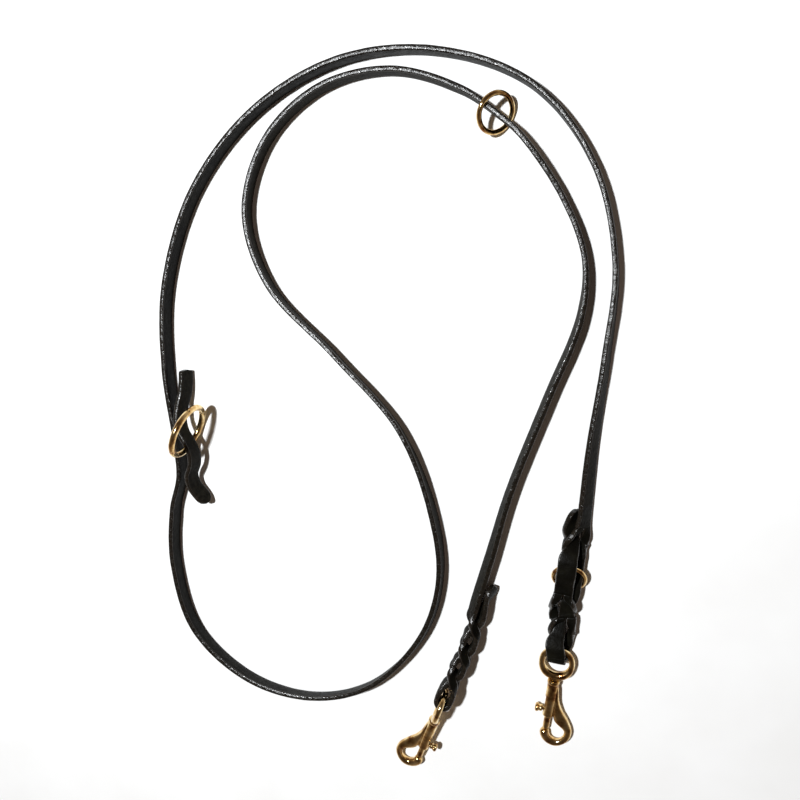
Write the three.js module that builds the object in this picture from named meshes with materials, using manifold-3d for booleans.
// Training lead: one long leather strap on its edge, a snap hook braided into
// each end, and three brass rings. Millimetres, +Z up, the lead lies on z = 0.
import * as THREE from 'three';
import { mergeVertices } from 'three/addons/utils/BufferGeometryUtils.js';
import Module from 'manifold-3d';

const wasm = await Module();
wasm.setup();

// ---- driving dimensions ----
const STRAP_WIDTH = 12.4;
const STRAP_THICK = 3.6;
const STRAP_CORNER = 0.6;
const LEAD_STEPS = 80;
const KEEPER_STEPS = 24;
const GAP = 0.3;

const EYE_MEAN_R = 10;
const EYE_WIRE_R = 2;
const BARREL_R = 3.8;
const BARREL_LENGTH = 28;
const BORE_R = 2.5;
const SHANK_R = 1.7;
const SHANK_HOLE_R = 2.0;
const SHANK_HOLE_DEPTH = 5;
const HEAD_R = 2.2;
const EYE_TO_BARREL = 13.2;
const ARM_THICK = 6;
const ARM_ROUND = 1.6;
const BOLT_R = 2.2;
const BOLT_BACK = 19.8;
const BOLT_FRONT = 38.6;
const BOLT_TRAVEL = 8.5;
const STUD_AT = 24;
const STUD_NECK_R = 1.2;
const STUD_OUT = 9.4;
const SPRING_WIRE_R = 0.3;
const SPRING_MEAN_R = 1.75;
const SPRING_TURNS = 7;

// Where the two eyes sit, and which way the hooks point from them.
const EYE_A = new THREE.Vector3(52, -188, 12.2);
const HOOK_A_YAW = -109.5;
const HOOK_A_DIP = 8.4;
const FOLD_A_YAW = 68;
const FOLD_A_RISE = 3.8;
const FOLD_A_LENGTH = 88;
const FOLD_A_STRAIGHT = 42;
const FOLD_A_BEND = 12;
const EYE_B = new THREE.Vector3(130.1, -146.6, 5.9);
const HOOK_B_YAW = -96.4;
const HOOK_B_DIP = 2.6;
const FOLD_B_YAW = 85;
const FOLD_B_LENGTH = 111;

// The centre line of the lead from braid A to braid B: x, y, and how far the
// lower edge is lifted off the ground, which is only where it crosses a ring.
const LEAD_ROUTE = [
  [78.6, -103.7, 0.1], [86, -74.5, 0.1], [96.5, -30, 0.1], [118, 33, 0.1], [136, 86, 0.1],
  [136, 121, 0.1], [122, 156, 0.8], [96, 192.5, 4.3], [80.6, 205.9, 3.7], [60, 220.5, 1.3],
  [16, 234, 0.1], [-31, 226, 0.1], [-68, 196, 0.1], [-84, 151, 0.1], [-70, 104, 0.1],
  [-23, 57, 0.1], [22, 8, 0.1], [44.5, -52, 0.1], [49, -96, 0.1], [36, -139, 0.1],
  [-2, -183, 0.1], [-48, -198.5, 0.1], [-97, -190.5, 0.1], [-138.5, -157, 0.1], [-153.5, -106, 0.1],
  [-151.5, -62, 0.1], [-144.5, -36, 0.1], [-146, -6, 0.1], [-151, 42, 0.1], [-147, 102, 0.1],
  [-121.5, 166, 0.1], [-75, 215, 0.1], [-16, 242, 0.1], [46.5, 243, 0.1], [102.5, 221, 0.1],
  [138.5, 176, 0.1], [153.5, 118, 0.1], [150, 62, 0.1], [143, 2, 0.1], [140.3, -35.2, 0.1],
];

// The short strap that is braided beside the lead and holds the middle ring.
const KEEPER_ROUTE = [
  [-137.6, 40, 0], [-138.4, 28, 1.5], [-140, 17, 4], [-139.7, 7, 7.0], [-136.8, -0.6, 9.2],
  [-132.4, -7.4, 9.9], [-129.7, -16, 8.6], [-131, -25, 6.5], [-135, -34, 4.8], [-134.6, -43, 2.8],
  [-130.8, -51, 1], [-126.8, -57, 0],
];

// ---- helpers ----
const rad = THREE.MathUtils.degToRad;

function solid(geometry) {
  const bare = geometry.clone();
  bare.deleteAttribute('normal');
  bare.deleteAttribute('uv');
  const merged = mergeVertices(bare, 1e-4);
  const mesh = new wasm.Mesh({
    numProp: 3,
    vertProperties: new Float32Array(merged.attributes.position.array),
    triVerts: new Uint32Array(merged.index.array),
  });
  return new wasm.Manifold(mesh);
}

function geometryOf(manifold) {
  const mesh = manifold.getMesh();
  const geometry = new THREE.BufferGeometry();
  geometry.setAttribute('position', new THREE.BufferAttribute(new Float32Array(mesh.vertProperties), 3));
  geometry.setIndex(new THREE.BufferAttribute(new Uint32Array(mesh.triVerts), 1));
  geometry.computeVertexNormals();
  return geometry;
}

function node(name, geometry, material) {
  const mesh = new THREE.Mesh(geometry, material);
  mesh.name = name;
  return mesh;
}

// A body of revolution about the local X axis, from [x, radius] pairs.
function turned(profile, segments = 20) {
  const points = profile.map(([x, r]) => new THREE.Vector2(r, x));
  return new THREE.LatheGeometry(points, segments).rotateZ(-Math.PI / 2);
}

// A route whose section stays upright, so that a strap stands on its edge.
class UprightPath extends THREE.CatmullRomCurve3 {
  computeFrenetFrames(segments) {
    const tangents = [];
    const normals = [];
    const binormals = [];
    for (let i = 0; i <= segments; i += 1) {
      const tangent = this.getTangentAt(i / segments).setZ(0).normalize();
      const normal = new THREE.Vector3(0, 0, -1);
      tangents.push(tangent);
      normals.push(normal);
      binormals.push(new THREE.Vector3().crossVectors(tangent, normal));
    }
    return { tangents, normals, binormals };
  }
}

function strapSection() {
  const w = STRAP_WIDTH / 2;
  const t = STRAP_THICK / 2;
  const c = STRAP_CORNER;
  const corners = [
    [-w + c, -t], [w - c, -t], [w, -t + c], [w, t - c],
    [w - c, t], [-w + c, t], [-w, t - c], [-w, -t + c],
  ];
  return new THREE.Shape(corners.map(([x, y]) => new THREE.Vector2(x, y)));
}

function strapAlong(route, steps) {
  const points = route.map(([x, y, lift]) => new THREE.Vector3(x, y, lift + STRAP_WIDTH / 2));
  const path = new UprightPath(points, false, 'centripetal');
  path.arcLengthDivisions = 2000;
  return new THREE.ExtrudeGeometry(strapSection(), { steps, extrudePath: path, bevelEnabled: false });
}

function outline(points) {
  return new THREE.Shape(points.map(([x, y]) => new THREE.Vector2(x, y)));
}

// Adds points to the long edges of a closed outline, at most `span` apart.
function divided(points, span) {
  const out = [];
  points.forEach(([x, y], i) => {
    const [nextX, nextY] = points[(i + 1) % points.length];
    const count = Math.max(1, Math.ceil(Math.hypot(nextX - x, nextY - y) / span));
    for (let k = 0; k < count; k += 1) {
      out.push([x + (nextX - x) * k / count, y + (nextY - y) * k / count]);
    }
  });
  return out;
}

// Bends an outline that runs along X into an arc, from x = from to x = to.
function bent(points, from, to, degrees) {
  const rate = rad(degrees) / (to - from);
  return points.map(([x, y]) => {
    if (x <= from) {
      return [x, y];
    }
    const turn = rate * (x - from);
    const centreX = from + Math.sin(turn) / rate;
    const centreY = (1 - Math.cos(turn)) / rate;
    return [centreX - y * Math.sin(turn), centreY + y * Math.cos(turn)];
  });
}

// ---- leather ----
// Hairpin of a braided end, seen from its edge: x runs from the loop towards
// the lead, y across the two layers. The eye's far wire sits in the pocket.
function foldA() {
  const t = STRAP_THICK;
  const half = 2.9;
  const seam = 0.3;
  const length = FOLD_A_LENGTH;
  const straight = [
    [0, -half - t + 2], [1.8, -half - t], [14, -half - t], [24, -seam - t], [length, -seam - t],
    [length, -seam], [26, -seam], [12.5, -half], [3.9, -half],
    [3.9, half], [12.5, half], [26, seam], [length, seam],
    [length, seam + t], [24, seam + t], [14, half + t], [1.8, half + t], [0, half + t - 2],
  ];
  const shape = outline(bent(divided(straight, 9), FOLD_A_STRAIGHT, length, FOLD_A_BEND));
  const geometry = new THREE.ExtrudeGeometry(shape, { depth: STRAP_WIDTH, bevelEnabled: false });
  return geometry.translate(0, 0, -STRAP_WIDTH / 2);
}

function foldB() {
  const t = STRAP_THICK;
  const floor = -EYE_B.z;
  const under = floor + t;
  const pocketTop = 2.8;
  const seam = 0.5;
  const lift = 4.35;
  const overRing = 6.9;
  const length = FOLD_B_LENGTH;
  const shape = outline([
    [0, floor + 2], [1.8, floor], [38, floor], [47, floor + lift], [77, floor + lift], [87, floor],
    [length, floor], [length, under], [87.5, under], [77.5, under + lift], [46.5, under + lift],
    [37.5, under], [3.9, under],
    [3.9, pocketTop], [12.5, pocketTop], [30, under + seam], [37, under + seam],
    [46, under + lift + seam], [56, under + lift + seam], [66.8, overRing], [75, overRing],
    [88, under + seam], [length, under + seam],
    [length, under + seam + t], [88.5, under + seam + t], [75.5, overRing + t], [66.2, overRing + t],
    [55.5, under + lift + seam + t], [45.5, under + lift + seam + t], [36.5, under + seam + t],
    [30.5, under + seam + t], [14, pocketTop + t], [1.8, pocketTop + t], [0, pocketTop + t - 2],
  ]);
  const geometry = new THREE.ExtrudeGeometry(shape, { depth: STRAP_WIDTH, bevelEnabled: false });
  return geometry.translate(0, 0, -STRAP_WIDTH / 2).rotateX(Math.PI / 2);
}

// ---- brass hardware ----
function ring(meanRadius, wireRadius) {
  return new THREE.TorusGeometry(meanRadius, wireRadius, 10, 36);
}

// Eye with its collar, and the shank whose peened head holds it in the barrel.
function swivelEye(upright) {
  const loop = new THREE.TorusGeometry(EYE_MEAN_R, EYE_WIRE_R, 10, 36).translate(-EYE_TO_BARREL, 0, 0);
  if (upright) {
    loop.rotateX(Math.PI / 2);
  }
  const shank = turned([
    [-2.9, 0], [-2.9, 2.2], [-2.3, 3], [-GAP, 3], [-GAP, SHANK_R], [5.3, SHANK_R],
    [5.3, HEAD_R], [6.4, HEAD_R], [6.8, 1.8], [6.8, 0],
  ]);
  return geometryOf(solid(loop).add(solid(shank)));
}

function armShape() {
  const shape = new THREE.Shape();
  const outer = [
    [10, 4.9], [16, 6.1], [22.4, 9.2], [29, 14], [36, 17.4], [42, 17.1], [47.3, 13.8],
    [50.5, 8.6], [50.2, 3.4], [47.8, -0.6], [44.6, -3], [41.6, -3.6],
  ];
  const inner = [
    [41.8, 3], [44.4, 5], [45.4, 8], [44, 10.9], [40.6, 12.4], [37, 11.9], [34, 9.2], [31.6, 5.4],
    [28.6, 3.1],
  ];
  shape.moveTo(2, 0);
  shape.lineTo(2, 4);
  shape.splineThru(outer.map(([x, y]) => new THREE.Vector2(x, y)));
  shape.lineTo(39.2, -2.8);
  shape.lineTo(39.2, 2.4);
  shape.splineThru(inner.map(([x, y]) => new THREE.Vector2(x, y)));
  shape.lineTo(27, 0);
  return shape;
}

function hookBody() {
  const arm = new THREE.ExtrudeGeometry(armShape(), {
    depth: ARM_THICK - 2 * ARM_ROUND,
    bevelEnabled: true,
    bevelThickness: ARM_ROUND,
    bevelSize: ARM_ROUND,
    bevelOffset: -ARM_ROUND,
    bevelSegments: 3,
    curveSegments: 3,
  }).translate(0, 0, ARM_ROUND - ARM_THICK / 2);
  const r = BARREL_R;
  const barrel = turned([[0, 0], [0, r - 0.6], [0.6, r], [BARREL_LENGTH - 0.5, r],
    [BARREL_LENGTH, r - 0.5], [BARREL_LENGTH, 0]], 24);
  const shankHole = turned([[-1, 0], [-1, SHANK_HOLE_R], [SHANK_HOLE_DEPTH + 0.5, SHANK_HOLE_R],
    [SHANK_HOLE_DEPTH + 0.5, 0]]);
  const bore = turned([[SHANK_HOLE_DEPTH, 0], [SHANK_HOLE_DEPTH, BORE_R], [31, BORE_R], [31, 0]]);
  const slotFrom = STUD_AT - BOLT_TRAVEL - STUD_NECK_R - GAP;
  const slotTo = STUD_AT + STUD_NECK_R + GAP;
  const slot = new THREE.BoxGeometry(slotTo - slotFrom, 5, 2 * (STUD_NECK_R + GAP));
  slot.translate((slotFrom + slotTo) / 2, -4, 0);
  const body = solid(arm).add(solid(barrel));
  return geometryOf(body.subtract(solid(shankHole)).subtract(solid(bore)).subtract(solid(slot)));
}

function bolt() {
  const pin = turned([
    [BOLT_BACK, 0], [BOLT_BACK, BOLT_R - 0.3], [BOLT_BACK + 0.3, BOLT_R],
    [BOLT_FRONT - 0.8, BOLT_R], [BOLT_FRONT, BOLT_R - 0.8], [BOLT_FRONT, 0],
  ]);
  const studHole = new THREE.CylinderGeometry(STUD_NECK_R + GAP, STUD_NECK_R + GAP, 4, 14);
  studHole.translate(STUD_AT, -2.6, 0);
  return geometryOf(solid(pin).subtract(solid(studHole)));
}

// Thumb stud: a neck through the barrel's slot and a mushroom knob outside it.
function thumbStud() {
  const profile = [
    [0, 0.9], [STUD_NECK_R, 0.9], [STUD_NECK_R, 4.4], [2.2, 4.6], [2.4, 5.4], [2.0, 6.3],
    [2.6, 7.0], [3.1, 7.9], [2.8, 8.9], [1.8, STUD_OUT], [0, STUD_OUT],
  ];
  const points = profile.map(([r, y]) => new THREE.Vector2(r, y));
  const knob = new THREE.LatheGeometry(points, 18).rotateX(Math.PI);
  return knob.translate(STUD_AT, 0, 0);
}

class Helix extends THREE.Curve {
  constructor(from, to) {
    super();
    this.from = from;
    this.to = to;
  }

  getPoint(t) {
    const angle = t * SPRING_TURNS * 2 * Math.PI;
    const x = this.from + t * (this.to - this.from);
    return new THREE.Vector3(x, SPRING_MEAN_R * Math.cos(angle), SPRING_MEAN_R * Math.sin(angle));
  }
}

function spring() {
  const wire = outline([0, 1, 2, 3, 4, 5].map((k) => {
    const angle = k * Math.PI / 3;
    return [SPRING_WIRE_R * Math.cos(angle), SPRING_WIRE_R * Math.sin(angle)];
  }));
  const path = new Helix(6.8 + GAP + SPRING_WIRE_R, BOLT_BACK - GAP - SPRING_WIRE_R);
  return new THREE.ExtrudeGeometry(wire, {
    steps: SPRING_TURNS * 10, extrudePath: path, bevelEnabled: false,
  });
}

// ---- materials ----
const leather = new THREE.MeshStandardMaterial({ color: 0x1d1712, roughness: 0.45, metalness: 0 });
const brass = new THREE.MeshStandardMaterial({ color: 0xb98a45, roughness: 0.25, metalness: 1 });
const steel = new THREE.MeshStandardMaterial({ color: 0x9a9a98, roughness: 0.35, metalness: 1 });

// ---- assembly ----
// Puts a group at an eye centre with its X axis at a yaw and dipped below level.
// side = -1 turns the piece over, so that its Y side is on the other hand.
function aim(group, centre, yaw, dip, side) {
  const along = new THREE.Vector3(Math.cos(rad(yaw)) * Math.cos(rad(dip)),
    Math.sin(rad(yaw)) * Math.cos(rad(dip)), -Math.sin(rad(dip)));
  const across = new THREE.Vector3(-Math.sin(rad(yaw)), Math.cos(rad(yaw)), 0).multiplyScalar(side);
  const up = new THREE.Vector3().crossVectors(along, across);
  group.quaternion.setFromRotationMatrix(new THREE.Matrix4().makeBasis(along, across, up));
  group.position.copy(centre);
  return group;
}

function hook(prefix, upright) {
  const pieces = new THREE.Group();
  pieces.add(node(`${prefix}_swivel_eye`, swivelEye(upright), brass));
  pieces.add(node(`${prefix}_body`, hookBody(), brass));
  pieces.add(node(`${prefix}_bolt`, bolt(), brass));
  pieces.add(node(`${prefix}_thumb_stud`, thumbStud(), brass));
  pieces.add(node(`${prefix}_spring`, spring(), steel));
  pieces.position.x = EYE_TO_BARREL;
  const group = new THREE.Group();
  group.add(pieces);
  return group;
}

const leash = new THREE.Group();
leash.add(node('lead_strap', strapAlong(LEAD_ROUTE, LEAD_STEPS), leather));
leash.add(node('keeper_strap', strapAlong(KEEPER_ROUTE, KEEPER_STEPS), leather));

const endA = new THREE.Group();
endA.add(node('braided_end_a', foldA(), leather));
leash.add(aim(endA, EYE_A, FOLD_A_YAW, FOLD_A_RISE, 1));

const endB = new THREE.Group();
endB.add(node('braided_end_b', foldB(), leather));
leash.add(aim(endB, EYE_B, FOLD_B_YAW, 0, 1));

leash.add(aim(hook('hook_a', true), EYE_A, HOOK_A_YAW, HOOK_A_DIP, -1));
leash.add(aim(hook('hook_b', false), EYE_B, HOOK_B_YAW, HOOK_B_DIP, 1));

// Floating ring: leans against the lead, which passes over its low side and
// under its high side.
const floating = { r: 11.4, wire: 1.6, tilt: 45.5, x: 80.6, y: 205.9, downhill: -31 };
const floatingRing = node('floating_ring', ring(floating.r, floating.wire), brass);
const floatingCentre = new THREE.Vector3(floating.x, floating.y,
  floating.wire + floating.r * Math.sin(rad(floating.tilt)) + 0.05);
leash.add(aim(new THREE.Group().add(floatingRing), floatingCentre, floating.downhill, floating.tilt, 1));

// Middle ring: stands on its edge, the keeper runs through it.
const middle = { r: 18.2, wire: 2.25, x: -129.8, y: 1.2, yaw: 68.3 };
const middleRing = node('middle_ring', ring(middle.r, middle.wire).rotateX(Math.PI / 2), brass);
const middleCentre = new THREE.Vector3(middle.x, middle.y, middle.r + middle.wire + 0.1);
leash.add(aim(new THREE.Group().add(middleRing), middleCentre, middle.yaw, 0, 1));

// Braid ring: threaded on the lower layer of braid B, one side under that layer
// and the other between the two layers.
const braid = { r: 10.2, wire: 1.4, tilt: 27, along: 62, z: 6.13 };
const braidRing = node('braid_ring', ring(braid.r, braid.wire), brass);
const braidYaw = rad(FOLD_B_YAW);
const braidCentre = new THREE.Vector3(
  EYE_B.x + braid.along * Math.cos(braidYaw), EYE_B.y + braid.along * Math.sin(braidYaw), braid.z);
leash.add(aim(new THREE.Group().add(braidRing), braidCentre, FOLD_B_YAW, -braid.tilt, 1));

export default leash;
